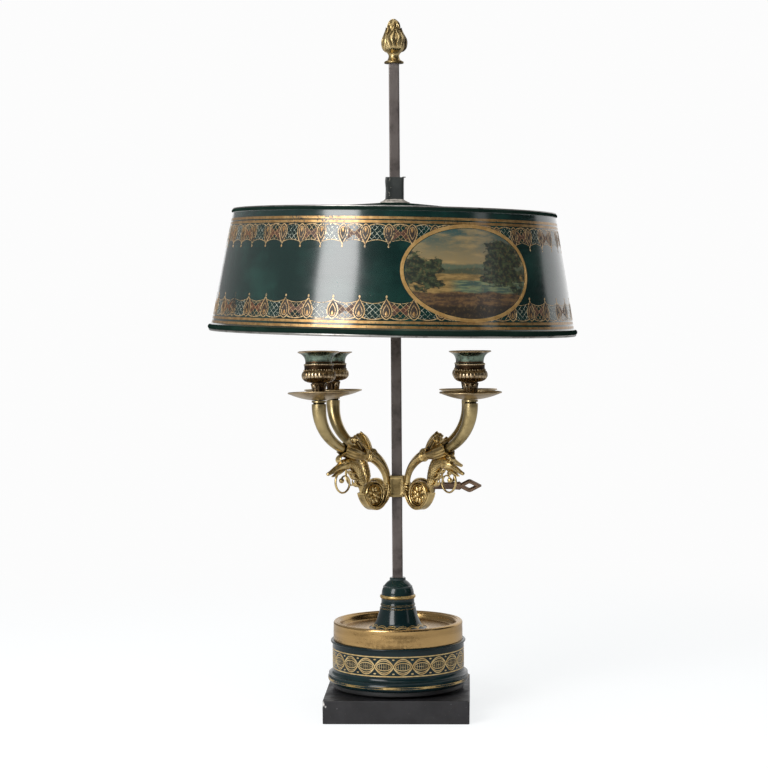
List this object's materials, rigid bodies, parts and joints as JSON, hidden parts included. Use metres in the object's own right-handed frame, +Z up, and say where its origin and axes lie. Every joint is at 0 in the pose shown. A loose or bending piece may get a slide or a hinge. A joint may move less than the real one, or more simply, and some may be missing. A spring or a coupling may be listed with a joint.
{
  "type": "table lamp",
  "caption": "Candle table lamp: a weighted square base and drum, an upright bar with a flame finial, a branched candle bracket clamped by a key, and a wide shade that slides on the bar.",
  "frame": {"origin": "middle of the plinth's underside", "axes": "+Z up along the bar, +X towards the bracket's key, -Y towards the front"},
  "size_m": [0.3456, 0.3458, 0.65],
  "materials": {
    "slate": "honed black stone",
    "black_paint": "worn black paint",
    "painted_tin": "dark green lacquer with gilding",
    "ballast_iron": "raw casting",
    "bar_iron": "dark wrought iron",
    "rusty_iron": "rusty wrought iron",
    "solder": "old grey solder",
    "dish_brass": "tarnished spun brass",
    "socket_brass": "chased copper-brown brass",
    "pan_brass": "satin pale brass",
    "horn_brass": "worn olive brass",
    "gilt_bronze": "chased gilt bronze"
  },
  "bodies": {
    "stand": {"plinth": "slate", "foot_ring": "black_paint", "drum_wall": "painted_tin", "ballast": "ballast_iron", "brass_dish": "dish_brass", "bell_foot": "painted_tin", "bar": "bar_iron", "bar_washer": "bar_iron", "bar_nut": "bar_iron", "finial": "gilt_bronze"},
    "bracket": {"collar": "gilt_bronze", "scroll_arm_front_right": "gilt_bronze", "beast_front_right": "gilt_bronze", "leaf_cup_front_right": "gilt_bronze", "horn_front_right": "horn_brass", "drip_pan_front_right": "pan_brass", "socket_front_right": "socket_brass", "scroll_arm_front_left": "gilt_bronze", "beast_front_left": "gilt_bronze", "leaf_cup_front_left": "gilt_bronze", "horn_front_left": "horn_brass", "drip_pan_front_left": "pan_brass", "socket_front_left": "socket_brass", "scroll_arm_rear_left": "gilt_bronze", "beast_rear_left": "gilt_bronze", "leaf_cup_rear_left": "gilt_bronze", "horn_rear_left": "horn_brass", "drip_pan_rear_left": "pan_brass", "socket_rear_left": "socket_brass", "scroll_arm_rear_right": "gilt_bronze", "beast_rear_right": "gilt_bronze", "leaf_cup_rear_right": "gilt_bronze", "horn_rear_right": "horn_brass", "drip_pan_rear_right": "pan_brass", "socket_rear_right": "socket_brass", "socket_studs": "bar_iron"},
    "pad": {"pressure_pad": "bar_iron"},
    "key": {"key": "rusty_iron"},
    "shade": {"shade_wall": "painted_tin", "shade_top_wire": "bar_iron", "shade_bottom_wire": "bar_iron", "shade_roof": "painted_tin", "shade_sleeve": "painted_tin", "sleeve_solder": "solder", "sleeve_springs": "bar_iron"}
  },
  "joints": [
    {"name": "shade_slide", "type": "slide", "parent": "stand", "child": "shade", "axis": [0, 0, 1], "range_m": [-0.06, 0.095]},
    {"name": "bracket_slide", "type": "slide", "parent": "stand", "child": "bracket", "axis": [0, 0, 1], "range_m": [-0.055, 0.05]},
    {"name": "pad_slide", "type": "slide", "parent": "bracket", "child": "pad", "axis": [1, 0, 0], "range_m": [0, 0.001]},
    {"name": "key_turn", "type": "hinge", "parent": "pad", "child": "key", "pos_m": [0.02, 0, 0.2125], "axis": [1, 0, 0], "range_deg": [0, 361]}
  ],
  "couplings": [
    {"joint": "key_turn", "follows": "pad_slide", "rad_per_m": 6283.2}
  ]
}
